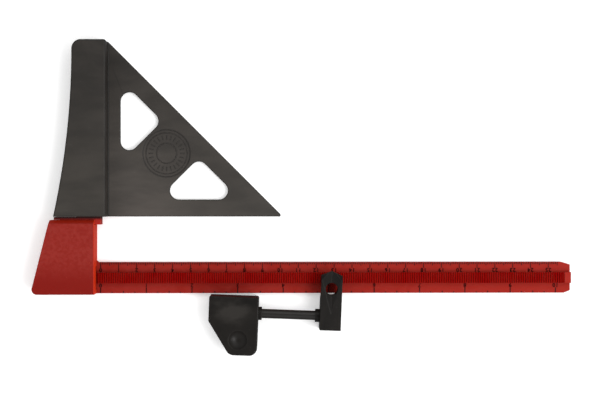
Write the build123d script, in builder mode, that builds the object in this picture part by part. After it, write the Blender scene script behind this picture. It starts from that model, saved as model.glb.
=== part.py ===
"""Moulded combination square: red stock and rule, black mitre square and a loose marking gauge.

Millimetres. The origin is the inside corner of the stock's fence and the rule's inner edge, on the flat back.
+X runs along the rule, +Y up the grip, +Z from the flat back towards the raised side of the fences.
"""

import os
from math import cos, radians, sin, sqrt, tan

from build123d import *

# Rule (blade)
blade_reach = 264.3          # fence to free end
blade_width = 17.3
blade_thickness = 3.0
rib_width = 6.0
rib_height = 3.5             # above the rule's face
tooth_pitch = 1.0
tooth_depth = 0.6
tooth_land = 0.2             # flat on each tooth's crest
rack_start = 0.7             # fence to the rack's first tooth
rack_end_land = 3.5          # plain rib left at the free end
inner_corner_cut = (5.0, 1.45)
outer_corner_cut = (3.5, 1.4)
root_radius = 0.8            # web in the corner between rule and fence
tenon_length = 24.0
tenon_shoulder = 2.15        # each side of the tenon
tenon_bottom = 2.3

# Stock
body_height = 16.0           # stock, grip, carriage and head are all this thick
stock_top = 23.6             # above the rule's inner edge
stock_top_width = 24.5
stock_flare = 14.2           # degrees, of the outer side
stock_top_chamfer = 2.1
stock_shoulder_cut = 2.5
stock_heel_radius = 2.8
stock_wall = 3.0
core_roof = 3.5              # solid left above the cores of stock and grip
core_wall = 2.6              # between the stock's core and its two mortises
small_radius = 1.0           # corners of cores, carriage and fence
fit_gap = 0.1                # bonded and bolted joints

# Grip and mitre plate
fence_step = 6.2             # the grip's fence stands this far out from the stock's
mouth_gap = 1.8
grip_length = 97.4           # also the leg of the mitre plate
grip_top_width = 18.6
grip_flare_radius = 430.0
grip_corner_radius = 5.0
flare_land = 0.01            # straight bit between the corner's round and the flare
grip_edge_radius = 0.7
plate_thickness = 3.0
tip_land = 1.3
bridge_width = 28.9          # left between the two windows
window_radius = 5.0
window_from_fence = 6.9
window_from_base = 9.5
window_from_mitre = 10.0
badge_margin = 1.25          # from the round recess to each window
badge_from_mitre = 20.94     # its centre from the slanted edge
badge_depth = 0.5
sleeve_wall = 2.8
sleeve_outer_wall = 2.2      # beside the socket, at the grip's top width
sleeve_floor = 2.8
sleeve_roof = 3.6
slide_gap = 0.1              # sleeve over tongue

# Tongue
tongue_reach = 60.0          # length inside the sleeve
tongue_tip_cut = 2.0
sleeve_end_gap = 2.0
root_side_wall = 5.5         # of the stock, outside the root
root_foot = 8.0              # the root's end above the rule's inner edge
tab_drop = 2.5               # the shoulder's tab overlaps the stock's top by this
shoulder_gap = 0.2

# Friction spring on the tongue
spring_thickness = 0.4
spring_width = 6.0
spring_tab = 5.0
spring_bow_length = 28.0
spring_gap = 0.15            # from the bow's top to the sleeve's roof
spring_start = 16.0          # above the sleeve's mouth
spring_pocket_depth = 1.6
rivet_radius = 1.0
rivet_head_radius = 1.9
rivet_head_height = 0.7
rivet_depth = 4.0

# Fasteners
screw_radius = 1.5
screw_head_radius = 2.8
screw_recess = 0.3           # heads sit below the back
blade_screw_bite = 3.3       # above the tenon
tongue_screw_cover = 3.0     # of the tongue, left above the tip
blade_screw_pitch = 10.0
tongue_screw_pitch = 7.0
dowel_radius = 1.5
dowel_bite = 3.5             # above the tenon
dowel_recess = 1.0
dowel_edge = 2.5             # from the dowel's axis to the tenon's side

# Gauge: its own frame has U along the rod and V towards the rule
gauge_tilt = -2.2            # degrees from the rule
gauge_root_x = 90.1          # rod axis at the carriage's face
gauge_gap = 0.65             # from the carriage's nearest corner to the rule
rod_radius = 2.6
rod_span = 33.9              # carriage face to head face
rod_socket = 14.0
rod_tip = 8.6                # length inside the head
rod_end_gap = 0.5            # in the head, past the rod's end
running_gap = 0.05
bush_wall = 1.1
rod_bush_length = (3.5, 1.8)     # inside and outside the carriage
head_bush_length = (2.5, 2.6)    # inside and outside the head
pin_radius = 1.0
pin_cover = 3.0              # from each pin's end to the face
rod_pin_inset = 9.5
head_pin_inset = 5.6
neck_depth = 1.2
neck_width = 2.4

carriage_width = 27.4
carriage_top = 9.2
carriage_bottom = -23.0
carriage_flat = 15.4         # bottom edge before the slanted side
carriage_side = 13.9         # straight outer side before the slanted side
carriage_radius = 4.5
carriage_edge_radius = 0.6
carriage_wall = 2.2
base_thickness = 2.4
carriage_roof = 4.5
core_to_bush = 2.5
dimple_inset = (10.8, 8.4)   # from the carriage's inner face and its bottom
dimple_radius = 5.3
dimple_depth = 2.2
point_post_radius = 3.2
screw_post_radius = 3.8
carriage_screw_radius = 1.1
carriage_screw_head_radius = 2.0
carriage_screw_length = 8.0
upper_screw_inset = (4.7, 4.5)   # from the carriage's sides and its top
lower_screw_inset = (5.4, 5.0)   # from its inner face and its bottom
point_radius = 1.5
point_tip_radius = 0.15
point_length = 9.0
point_recess = 0.15

head_width = 11.6
head_bottom = -7.5
head_shoulder = 22.6         # where the pointed nose starts
head_apex = 25.1
nose_clearance = 0.5         # between the rack's crests and the nose
heel_gap = 0.63              # the head's lower part is round about the rod, clear of the rule by this
pencil_radius = 3.35
pencil_v = 15.3
groove_start = 1.3
groove_slope = 0.275         # half width gained per mm towards the nose
groove_angle = 30.0          # degrees, each flank below the face
nose_chamfer = 2.4

# Values that follow
blade_mid_y = -blade_width / 2
tenon_width = blade_width - 2 * tenon_shoulder
dowel_pitch = tenon_width - 2 * dowel_edge
core_depth = body_height - core_roof
rib_top = blade_thickness + rib_height
tooth_root = rib_top - tooth_depth
rack_teeth = int((blade_reach - rack_end_land - rack_start) / tooth_pitch)
mouth_y = stock_top + mouth_gap
grip_top_y = mouth_y + grip_length
sleeve_right = fence_step - sleeve_wall
sleeve_top = body_height - sleeve_roof
tongue_width = grip_top_width - sleeve_wall - sleeve_outer_wall - 2 * slide_gap
tongue_right = sleeve_right - slide_gap
tongue_left = tongue_right - tongue_width
tongue_bottom = sleeve_floor + slide_gap
tongue_top = sleeve_top - slide_gap
tongue_tip_y = mouth_y + tongue_reach
root_right = -stock_wall
root_left = root_side_wall - stock_top_width
root_width = root_right - root_left
spring_y = mouth_y + spring_start
spring_floor = tongue_top - spring_pocket_depth
spring_bow = spring_pocket_depth + slide_gap - spring_thickness - spring_gap
spring_x = (tongue_left + tongue_right) / 2
flare_centre_y = grip_top_y - grip_corner_radius - flare_land
blade_screw_length = rib_top + blade_screw_bite - screw_recess
tongue_screw_length = tongue_top - tongue_screw_cover - screw_recess
dowel_length = rib_top + dowel_bite - dowel_recess
rod_height = body_height / 2
bush_radius = rod_radius + bush_wall
neck_radius = rod_radius - neck_depth
pin_length = body_height - 2 * pin_cover
tilt = radians(gauge_tilt)
gauge_root_y = -blade_width - gauge_gap + carriage_width * sin(tilt) - carriage_top * cos(tilt)
heel_radius = -blade_width - gauge_root_y - rod_span * sin(tilt) - heel_gap
nose_bottom = rib_top + nose_clearance
half_head = head_width / 2
dimple_centre = (-dimple_inset[0], carriage_bottom + dimple_inset[1])
upper_screw_v = carriage_top - upper_screw_inset[1]
carriage_screws_at = (
    (upper_screw_inset[0] - carriage_width, upper_screw_v),
    (-upper_screw_inset[0], upper_screw_v),
    (-lower_screw_inset[0], carriage_bottom + lower_screw_inset[1]),
)
stock_base_left = -stock_top_width - (stock_top + blade_width) * tan(radians(stock_flare))

os.makedirs("parts", exist_ok=True)


def finish(builder, name):
    """Label a finished piece and write its file."""
    builder.part.label = name
    export_step(builder.part, f"parts/{name}.step")


def grip_left(y):
    """X of the grip's flared outer side at height y."""
    centre_x = fence_step - grip_top_width - grip_flare_radius
    return centre_x + sqrt(grip_flare_radius**2 - (flare_centre_y - y) ** 2)


def gauge_plane(height=0.0):
    """Plane of the gauge's frame: local X is U, local Y is V."""
    return Plane((gauge_root_x, gauge_root_y, height), x_dir=(cos(tilt), sin(tilt), 0), z_dir=(0, 0, 1))


def rod_plane(u):
    """Plane square to the rod at U, local X is V and local Y is Z, centred on the rod's axis."""
    base = gauge_plane(rod_height)
    origin = base.from_local_coords((u, 0, 0))
    return Plane(origin, x_dir=base.y_dir, z_dir=base.x_dir)


def countersunk(plane, spots, radius, head_radius, length):
    """Screws with countersunk heads whose faces lie on the plane, pointing along its normal."""
    with Locations(*[plane * Pos(*spot) for spot in spots]):
        Cylinder(radius, length, align=(Align.CENTER, Align.CENTER, Align.MIN))
        Cone(head_radius, radius, head_radius - radius, align=(Align.CENTER, Align.CENTER, Align.MIN))


def cut_for_screws(plane, spots, radius, head_radius, length):
    """Matching holes, open to the back of the piece."""
    mouth = head_radius + screw_recess
    with Locations(*[plane * Pos(*spot) for spot in spots]):
        Cylinder(radius, length, align=(Align.CENTER, Align.CENTER, Align.MIN), mode=Mode.SUBTRACT)
        Cone(
            mouth,
            radius,
            mouth - radius,
            align=(Align.CENTER, Align.CENTER, Align.MIN),
            mode=Mode.SUBTRACT,
        )


blade_screw_spots = [(-tenon_length / 2 + s * blade_screw_pitch / 2, blade_mid_y) for s in (-1, 1)]
dowel_spots = [(-tenon_length / 2, blade_mid_y + s * dowel_pitch / 2) for s in (-1, 1)]
root_mid = ((root_left + root_right) / 2, (stock_top - tab_drop + root_foot) / 2)
tongue_screw_spots = [(root_mid[0] + s * tongue_screw_pitch / 2, root_mid[1]) for s in (-1, 1)]
screw_plane = Plane.XY.offset(screw_recess)

# Rule with its raised rib, rack and tenon
with BuildPart() as blade:
    with BuildSketch():
        with BuildLine():
            inner_x, inner_y = inner_corner_cut
            outer_x, outer_y = outer_corner_cut
            Polyline(
                (0, -blade_width),
                (blade_reach - outer_x, -blade_width),
                (blade_reach, -blade_width + outer_y),
                (blade_reach, -inner_y),
                (blade_reach - inner_x, 0),
                (root_radius, 0),
            )
            RadiusArc((root_radius, 0), (0, root_radius), -root_radius)
            Line((0, root_radius), (0, -blade_width))
        make_face()
    extrude(amount=blade_thickness)
    with BuildSketch(Plane.XZ.offset(-blade_mid_y)):
        with BuildLine():
            teeth = [(rack_start, tooth_root)]
            for tooth in range(rack_teeth):
                start = rack_start + tooth * tooth_pitch
                teeth.append((start + (tooth_pitch - tooth_land) / 2, rib_top))
                teeth.append((start + (tooth_pitch + tooth_land) / 2, rib_top))
                teeth.append((start + tooth_pitch, tooth_root))
            rack_end = teeth[-1][0]
            Polyline(
                (0, blade_thickness),
                (0, tooth_root),
                *teeth,
                (rack_end, rib_top),
                (blade_reach, rib_top),
                (blade_reach, blade_thickness),
                close=True,
            )
        make_face()
    extrude(amount=rib_width / 2, both=True)
    with BuildSketch(Plane.XY.offset(tenon_bottom)):
        with Locations((0, blade_mid_y)):
            Rectangle(tenon_length, tenon_width, align=(Align.MAX, Align.CENTER))
    extrude(amount=rib_top - tenon_bottom)
    with Locations(*[Pos(*spot, 0) for spot in dowel_spots]):
        Cylinder(dowel_radius, body_height, align=(Align.CENTER, Align.CENTER, Align.MIN), mode=Mode.SUBTRACT)
    cut_for_screws(Plane.XY, blade_screw_spots, screw_radius, screw_head_radius, body_height)
finish(blade, "blade")

# Stock: a moulded block, mortised for the rule and the tongue and cored from the back
with BuildPart() as stock:
    with BuildSketch():
        with BuildLine():
            Polyline(
                (0, -blade_width),
                (0, stock_top),
                (-stock_top_width, stock_top),
                (stock_base_left, -blade_width),
                close=True,
            )
        make_face()
        outer_corners = vertices().sort_by(Axis.X)[:2]
        fillet(outer_corners.sort_by(Axis.Y)[0], stock_heel_radius)
        chamfer(outer_corners.sort_by(Axis.Y)[-1], stock_shoulder_cut)
    extrude(amount=body_height)
    top_edge = edges().filter_by(Axis.X).group_by(Axis.Z)[-1].sort_by(Axis.Y)[-1]
    chamfer(top_edge, stock_top_chamfer)
    with BuildSketch(Plane.XY.offset(tenon_bottom - fit_gap)):
        with Locations((0, blade_mid_y)):
            Rectangle(tenon_length + fit_gap, tenon_width + 2 * fit_gap, align=(Align.MAX, Align.CENTER))
    extrude(amount=rib_top - tenon_bottom + 2 * fit_gap, mode=Mode.SUBTRACT)
    with BuildSketch(Plane.XY.offset(tongue_bottom - fit_gap)):
        with Locations((root_right + fit_gap, stock_top)):
            Rectangle(root_width + 2 * fit_gap, stock_top - root_foot + fit_gap, align=(Align.MAX, Align.MAX))
        with Locations((0, stock_top)):
            Rectangle(stock_wall + fit_gap, tab_drop + fit_gap, align=(Align.MAX, Align.MAX))
    extrude(amount=tongue_top - tongue_bottom + 2 * fit_gap, mode=Mode.SUBTRACT)
    # Core between the two mortises, open at the back
    core_low_y = blade_mid_y + tenon_width / 2 + core_wall
    core_high_y = root_foot - core_wall
    with BuildSketch():
        with Locations((-stock_wall, core_low_y)):
            RectangleRounded(
                root_width,
                core_high_y - core_low_y,
                radius=small_radius,
                align=(Align.MAX, Align.MIN),
            )
    extrude(amount=core_depth, mode=Mode.SUBTRACT)
    with Locations(*[Pos(*spot, 0) for spot in dowel_spots]):
        Cylinder(
            dowel_radius,
            dowel_recess + dowel_length,
            align=(Align.CENTER, Align.CENTER, Align.MIN),
            mode=Mode.SUBTRACT,
        )
    blade_screw_hole = screw_recess + blade_screw_length
    tongue_screw_hole = screw_recess + tongue_screw_length
    cut_for_screws(Plane.XY, blade_screw_spots, screw_radius, screw_head_radius, blade_screw_hole)
    cut_for_screws(Plane.XY, tongue_screw_spots, screw_radius, screw_head_radius, tongue_screw_hole)
finish(stock, "stock")

with BuildPart() as blade_dowels:
    with Locations(*[Pos(*spot, dowel_recess) for spot in dowel_spots]):
        Cylinder(dowel_radius, dowel_length, align=(Align.CENTER, Align.CENTER, Align.MIN))
finish(blade_dowels, "blade_dowels")

with BuildPart() as blade_screws:
    countersunk(screw_plane, blade_screw_spots, screw_radius, screw_head_radius, blade_screw_length)
finish(blade_screws, "blade_screws")

with BuildPart() as tongue_screws:
    countersunk(screw_plane, tongue_screw_spots, screw_radius, screw_head_radius, tongue_screw_length)
finish(tongue_screws, "tongue_screws")

# Tongue that the square slides on, with the shoulder that its mouth comes to rest on
with BuildPart() as tongue:
    with BuildSketch(Plane.XY.offset(tongue_bottom)):
        with BuildLine():
            shoulder_y = mouth_y - shoulder_gap
            Polyline(
                (root_right, root_foot),
                (root_right, stock_top - tab_drop),
                (tongue_right, stock_top - tab_drop),
                (tongue_right, tongue_tip_y - tongue_tip_cut),
                (tongue_right - tongue_tip_cut, tongue_tip_y),
                (tongue_left + tongue_tip_cut, tongue_tip_y),
                (tongue_left, tongue_tip_y - tongue_tip_cut),
                (tongue_left, shoulder_y),
                (grip_left(mouth_y), shoulder_y),
                (grip_left(mouth_y), stock_top + shoulder_gap),
                (root_left, stock_top + shoulder_gap),
                (root_left, root_foot),
                close=True,
            )
        make_face()
    extrude(amount=tongue_top - tongue_bottom)
    spring_run = spring_tab + spring_bow_length
    with BuildSketch(Plane.XY.offset(tongue_top)):
        with Locations((spring_x, spring_y + spring_run / 2)):
            Rectangle(spring_width + 2 * fit_gap, spring_run + 2 * fit_gap)
    extrude(amount=-spring_pocket_depth, mode=Mode.SUBTRACT)
    with Locations((spring_x, spring_y + spring_tab / 2, spring_floor)):
        Cylinder(
            rivet_radius,
            rivet_depth,
            align=(Align.CENTER, Align.CENTER, Align.MAX),
            mode=Mode.SUBTRACT,
        )
    cut_for_screws(Plane.XY, tongue_screw_spots, screw_radius, screw_head_radius, tongue_screw_hole)
finish(tongue, "tongue")

# Bowed strip that presses on the sleeve's roof and holds the square where it is set
with BuildPart() as friction_spring:
    with BuildSketch(Plane.YZ.offset(spring_x)):
        with BuildLine():
            bow_start = spring_y + spring_tab
            bow_middle = bow_start + spring_bow_length / 2
            bow_end = bow_start + spring_bow_length
            low = spring_floor
            high = low + spring_thickness
            Line((spring_y, low), (bow_start, low))
            ThreePointArc((bow_start, low), (bow_middle, low + spring_bow), (bow_end, low))
            Line((bow_end, low), (bow_end, high))
            ThreePointArc((bow_end, high), (bow_middle, high + spring_bow), (bow_start, high))
            Line((bow_start, high), (spring_y, high))
            Line((spring_y, high), (spring_y, low))
        make_face()
    extrude(amount=spring_width / 2, both=True)
    with Locations((spring_x, spring_y + spring_tab / 2, spring_floor)):
        Cylinder(rivet_radius, spring_thickness * 2, mode=Mode.SUBTRACT)
finish(friction_spring, "friction_spring")

with BuildPart() as spring_rivet:
    with Locations((spring_x, spring_y + spring_tab / 2, spring_floor + spring_thickness)):
        shank = rivet_depth + spring_thickness
        Cylinder(rivet_radius, shank, align=(Align.CENTER, Align.CENTER, Align.MAX))
        Cylinder(rivet_head_radius, rivet_head_height, align=(Align.CENTER, Align.CENTER, Align.MIN))
finish(spring_rivet, "spring_rivet")

# Square: grip sleeve and 45 degree mitre plate in one moulding
with BuildPart() as square:
    with BuildSketch():
        with BuildLine():
            middle_y = (mouth_y + flare_centre_y) / 2
            Polyline(
                (grip_left(mouth_y), mouth_y),
                (fence_step, mouth_y),
                (fence_step, grip_top_y),
                (grip_left(flare_centre_y), grip_top_y),
                (grip_left(flare_centre_y), flare_centre_y),
            )
            ThreePointArc(
                (grip_left(flare_centre_y), flare_centre_y),
                (grip_left(middle_y), middle_y),
                (grip_left(mouth_y), mouth_y),
            )
        make_face()
        corners = vertices().group_by(Axis.Y)[-1]
        fillet(corners.sort_by(Axis.X)[0], grip_corner_radius)
        fillet(vertices().group_by(Axis.Y)[-1].sort_by(Axis.X)[-1], small_radius)
    extrude(amount=body_height)
    rim = faces().sort_by(Axis.Z)[-1].edges()
    fence_edge = rim.filter_by(Axis.Y).sort_by(Axis.X)[-1]
    fillet([edge for edge in rim if edge is not fence_edge], grip_edge_radius)
    with BuildSketch():
        corner_x = fence_step
        tip_x = fence_step + grip_length - tip_land
        with BuildLine():
            Polyline(
                (corner_x - sleeve_wall / 2, mouth_y),
                (tip_x, mouth_y),
                (tip_x, mouth_y + tip_land),
                (corner_x, grip_top_y),
                (corner_x - sleeve_wall / 2, grip_top_y - sleeve_wall),
                close=True,
            )
        make_face()
    extrude(amount=plate_thickness)
    # Two triangular windows: X + Y is edge_sum on the slanted edge and mitre_sum on the windows' long sides
    edge_sum = fence_step + mouth_y + grip_length
    mitre_sum = edge_sum - window_from_mitre * sqrt(2)
    upright_x = fence_step + window_from_fence
    level_y = mouth_y + window_from_base
    window_side = mitre_sum - upright_x - level_y - bridge_width / sqrt(2)
    half_side = window_side / 2
    with BuildSketch():
        high_y = mitre_sum - upright_x
        with BuildLine():
            Polyline(
                (upright_x, high_y),
                (upright_x, high_y - window_side),
                (upright_x + half_side, high_y - half_side),
                close=True,
            )
        make_face()
        fillet(vertices(), window_radius)
    extrude(amount=plate_thickness, mode=Mode.SUBTRACT)
    with BuildSketch():
        right_x = mitre_sum - level_y
        with BuildLine():
            Polyline(
                (right_x, level_y),
                (right_x - window_side, level_y),
                (right_x - half_side, level_y + half_side),
                close=True,
            )
        make_face()
        fillet(vertices(), window_radius)
    extrude(amount=plate_thickness, mode=Mode.SUBTRACT)
    # Round recess on the middle line of the bridge between the windows
    bridge_shift = level_y - upright_x
    badge_sum = edge_sum - badge_from_mitre * sqrt(2)
    badge_centre = ((badge_sum - bridge_shift) / 2, (badge_sum + bridge_shift) / 2)
    with BuildSketch(Plane.XY.offset(plate_thickness)):
        with Locations(badge_centre):
            Circle(bridge_width / 2 - badge_margin)
    extrude(amount=-badge_depth, mode=Mode.SUBTRACT)
    # Socket for the tongue
    with BuildSketch(Plane.XY.offset(sleeve_floor)):
        with Locations((sleeve_right, mouth_y)):
            Rectangle(
                tongue_width + 2 * slide_gap,
                tongue_reach + sleeve_end_gap,
                align=(Align.MAX, Align.MIN),
            )
    extrude(amount=sleeve_top - sleeve_floor, mode=Mode.SUBTRACT)
    # Cores above the socket, open at the back
    socket_end = tongue_tip_y + sleeve_end_gap
    core_space = grip_top_y - sleeve_wall - (socket_end + sleeve_wall)
    core_height = (core_space - sleeve_wall) / 2
    core_span = grip_top_width - 2 * sleeve_wall - grip_edge_radius
    with BuildSketch():
        for level in (0, 1):
            core_y = socket_end + sleeve_wall + level * (core_height + sleeve_wall)
            with Locations((sleeve_right, core_y)):
                RectangleRounded(
                    core_span,
                    core_height,
                    radius=small_radius,
                    align=(Align.MAX, Align.MIN),
                )
    extrude(amount=core_depth, mode=Mode.SUBTRACT)
finish(square, "square")

# Gauge carriage: block with a thumb dimple, hollow underneath
carriage_outline = [
    (0, carriage_top),
    (-carriage_width, carriage_top),
    (-carriage_width, carriage_top - carriage_side),
    (-carriage_flat, carriage_bottom),
    (0, carriage_bottom),
]
with BuildSketch(Plane.XY, mode=Mode.PRIVATE) as carriage_plan:
    with BuildLine():
        Polyline(*carriage_outline, close=True)
    make_face()
    fillet(vertices().sort_by(Axis.Y)[:2].sort_by(Axis.X)[-1], carriage_radius)
    fillet(vertices().sort_by_distance((-carriage_flat, carriage_bottom))[0], carriage_radius)
    fillet(vertices().group_by(Axis.Y)[-1], small_radius)

with BuildPart() as carriage:
    with BuildSketch(gauge_plane()):
        add(carriage_plan.sketch)
    extrude(amount=body_height)
    fillet(faces().sort_by(Axis.Z)[-1].edges(), carriage_edge_radius)
    dimple_sphere = (dimple_radius**2 + dimple_depth**2) / (2 * dimple_depth)
    # The sphere's poles lie level, so that none is at the dimple's bottom
    dimple_plane = gauge_plane(body_height - dimple_depth + dimple_sphere)
    with Locations(dimple_plane * Pos(*dimple_centre) * Rot(0, -90, 0)):
        Sphere(dimple_sphere, mode=Mode.SUBTRACT)
    with BuildSketch(gauge_plane()):
        add(carriage_plan.sketch)
        offset(amount=-carriage_wall, kind=Kind.INTERSECTION, mode=Mode.REPLACE)
    extrude(amount=base_thickness, mode=Mode.SUBTRACT)
    with BuildSketch(gauge_plane(base_thickness)):
        add(carriage_plan.sketch)
        offset(amount=-carriage_wall, kind=Kind.INTERSECTION, mode=Mode.REPLACE)
        with Locations((0, -bush_radius - core_to_bush)):
            Rectangle(
                2 * carriage_width,
                carriage_width,
                align=(Align.CENTER, Align.MAX),
                mode=Mode.INTERSECT,
            )
        with Locations(dimple_centre):
            Circle(point_post_radius, mode=Mode.SUBTRACT)
        with Locations(carriage_screws_at[-1]):
            Circle(screw_post_radius, mode=Mode.SUBTRACT)
    extrude(amount=body_height - carriage_roof - base_thickness, mode=Mode.SUBTRACT)
    with Locations(rod_plane(-rod_socket)):
        Cylinder(rod_radius, rod_socket, align=(Align.CENTER, Align.CENTER, Align.MIN), mode=Mode.SUBTRACT)
    with Locations(rod_plane(-rod_bush_length[0])):
        Cylinder(
            bush_radius,
            rod_bush_length[0],
            align=(Align.CENTER, Align.CENTER, Align.MIN),
            mode=Mode.SUBTRACT,
        )
    with Locations(gauge_plane(rod_height) * Pos(-rod_pin_inset, 0)):
        Cylinder(pin_radius, pin_length, mode=Mode.SUBTRACT)
    with Locations(gauge_plane(point_recess) * Pos(*dimple_centre)):
        Cylinder(
            point_radius,
            point_length,
            align=(Align.CENTER, Align.CENTER, Align.MIN),
            mode=Mode.SUBTRACT,
        )
    with Locations(*[gauge_plane(screw_recess) * Pos(*spot) for spot in carriage_screws_at]):
        Cylinder(
            carriage_screw_radius,
            carriage_screw_length,
            align=(Align.CENTER, Align.CENTER, Align.MIN),
            mode=Mode.SUBTRACT,
        )
finish(carriage, "gauge_carriage")

with BuildPart() as carriage_base:
    with BuildSketch(gauge_plane()):
        add(carriage_plan.sketch)
        offset(amount=-carriage_wall - fit_gap, kind=Kind.INTERSECTION, mode=Mode.REPLACE)
    extrude(amount=base_thickness)
    with Locations(gauge_plane() * Pos(*dimple_centre)):
        Cylinder(
            point_radius,
            base_thickness,
            align=(Align.CENTER, Align.CENTER, Align.MIN),
            mode=Mode.SUBTRACT,
        )
    cut_for_screws(
        gauge_plane(),
        carriage_screws_at,
        carriage_screw_radius,
        carriage_screw_head_radius,
        carriage_screw_length,
    )
finish(carriage_base, "carriage_base")

with BuildPart() as carriage_screws:
    countersunk(
        gauge_plane(screw_recess),
        carriage_screws_at,
        carriage_screw_radius,
        carriage_screw_head_radius,
        carriage_screw_length,
    )
finish(carriage_screws, "carriage_screws")

# Steel point under the thumb dimple
with BuildPart() as pivot_point:
    with Locations(gauge_plane(point_recess) * Pos(*dimple_centre)):
        Cone(
            point_tip_radius,
            point_radius,
            base_thickness,
            align=(Align.CENTER, Align.CENTER, Align.MIN),
        )
    with Locations(gauge_plane(point_recess + base_thickness) * Pos(*dimple_centre)):
        Cylinder(
            point_radius,
            point_length - base_thickness,
            align=(Align.CENTER, Align.CENTER, Align.MIN),
        )
finish(pivot_point, "pivot_point")

# Rod, pinned in the carriage and necked for the head's pin
rod_end = rod_span + rod_tip
neck_u = rod_span + head_pin_inset
with BuildPart() as rod:
    with Locations(rod_plane(-rod_socket)):
        Cylinder(rod_radius, rod_socket + rod_end, align=(Align.CENTER, Align.CENTER, Align.MIN))
    with BuildSketch(rod_plane(neck_u)):
        Circle(rod_radius)
        Circle(neck_radius, mode=Mode.SUBTRACT)
    extrude(amount=neck_width / 2, both=True, mode=Mode.SUBTRACT)
    with Locations(gauge_plane(rod_height) * Pos(-rod_pin_inset, 0)):
        Cylinder(pin_radius, pin_length, mode=Mode.SUBTRACT)
finish(rod, "gauge_rod")

with BuildPart() as rod_bush:
    with BuildSketch(rod_plane(-rod_bush_length[0])):
        Circle(bush_radius)
        Circle(rod_radius, mode=Mode.SUBTRACT)
    extrude(amount=sum(rod_bush_length))
finish(rod_bush, "rod_bush")

with BuildPart() as rod_pin:
    with Locations(gauge_plane(rod_height) * Pos(-rod_pin_inset, 0)):
        Cylinder(pin_radius, pin_length)
finish(rod_pin, "rod_pin")

# Head: block that swings on the rod, with a pointed nose that reaches over the rule
bore_radius = rod_radius + running_gap
head_mid_u = rod_span + half_head
pin_v = neck_radius + running_gap + pin_radius
with BuildPart() as head:
    with BuildSketch(gauge_plane()):
        with BuildLine():
            Polyline(
                (rod_span, head_bottom),
                (rod_span + head_width, head_bottom),
                (rod_span + head_width, head_shoulder),
                (head_mid_u, head_apex),
                (rod_span, head_shoulder),
                close=True,
            )
        make_face()
    extrude(amount=body_height)
    nose_tip = gauge_plane(body_height).from_local_coords((head_mid_u, head_apex, 0))
    top_rim = faces().sort_by(Axis.Z)[-1].edges()
    chamfer(top_rim.sort_by_distance(nose_tip)[:2], nose_chamfer)
    # Underside: cut away over the rule, round about the rod below
    with BuildSketch(rod_plane(rod_span)):
        with BuildLine():
            nose_level = nose_bottom - rod_height
            foot_v = sqrt(heel_radius**2 - rod_height**2)
            brow_v = sqrt(heel_radius**2 - nose_level**2)
            mid_level = (nose_level - rod_height) / 2
            mid_v = sqrt(heel_radius**2 - mid_level**2)
            ThreePointArc((foot_v, -rod_height), (mid_v, mid_level), (brow_v, nose_level))
            Polyline(
                (brow_v, nose_level),
                (2 * head_apex, nose_level),
                (2 * head_apex, -rod_height),
                (foot_v, -rod_height),
            )
        make_face()
    extrude(amount=head_width, mode=Mode.SUBTRACT)
    # Tapered V groove from the nose down the face
    groove_run = head_apex - groove_start
    half_width = groove_slope * groove_run
    flank = tan(radians(groove_angle))
    nose_plane = Plane(nose_tip, x_dir=gauge_plane().x_dir, z_dir=-gauge_plane().y_dir)
    with BuildSketch(nose_plane) as groove_end:
        with BuildLine():
            Polyline(
                (-2 * half_width, half_width * flank),
                (0, -half_width * flank),
                (2 * half_width, half_width * flank),
                close=True,
            )
        make_face()
    groove_point = gauge_plane(body_height).from_local_coords((head_mid_u, groove_start, 0))
    loft(sections=[groove_end.sketch, Vertex(*groove_point)], mode=Mode.SUBTRACT)
    with Locations(gauge_plane(body_height / 2) * Pos(head_mid_u, pencil_v)):
        Cylinder(pencil_radius, 2 * body_height, mode=Mode.SUBTRACT)
    with Locations(rod_plane(rod_span)):
        Cylinder(
            bore_radius,
            rod_tip + rod_end_gap,
            align=(Align.CENTER, Align.CENTER, Align.MIN),
            mode=Mode.SUBTRACT,
        )
        Cylinder(
            bush_radius,
            head_bush_length[0],
            align=(Align.CENTER, Align.CENTER, Align.MIN),
            mode=Mode.SUBTRACT,
        )
    with Locations(gauge_plane(rod_height) * Pos(neck_u, pin_v)):
        Cylinder(pin_radius, pin_length, mode=Mode.SUBTRACT)
finish(head, "gauge_head")

with BuildPart() as head_bush:
    with BuildSketch(rod_plane(rod_span - head_bush_length[1])):
        Circle(bush_radius)
        Circle(bore_radius, mode=Mode.SUBTRACT)
    extrude(amount=sum(head_bush_length))
finish(head_bush, "head_bush")

with BuildPart() as head_pin:
    with Locations(gauge_plane(rod_height) * Pos(neck_u, pin_v)):
        Cylinder(pin_radius, pin_length)
finish(head_pin, "head_pin")
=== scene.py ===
import math

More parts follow.
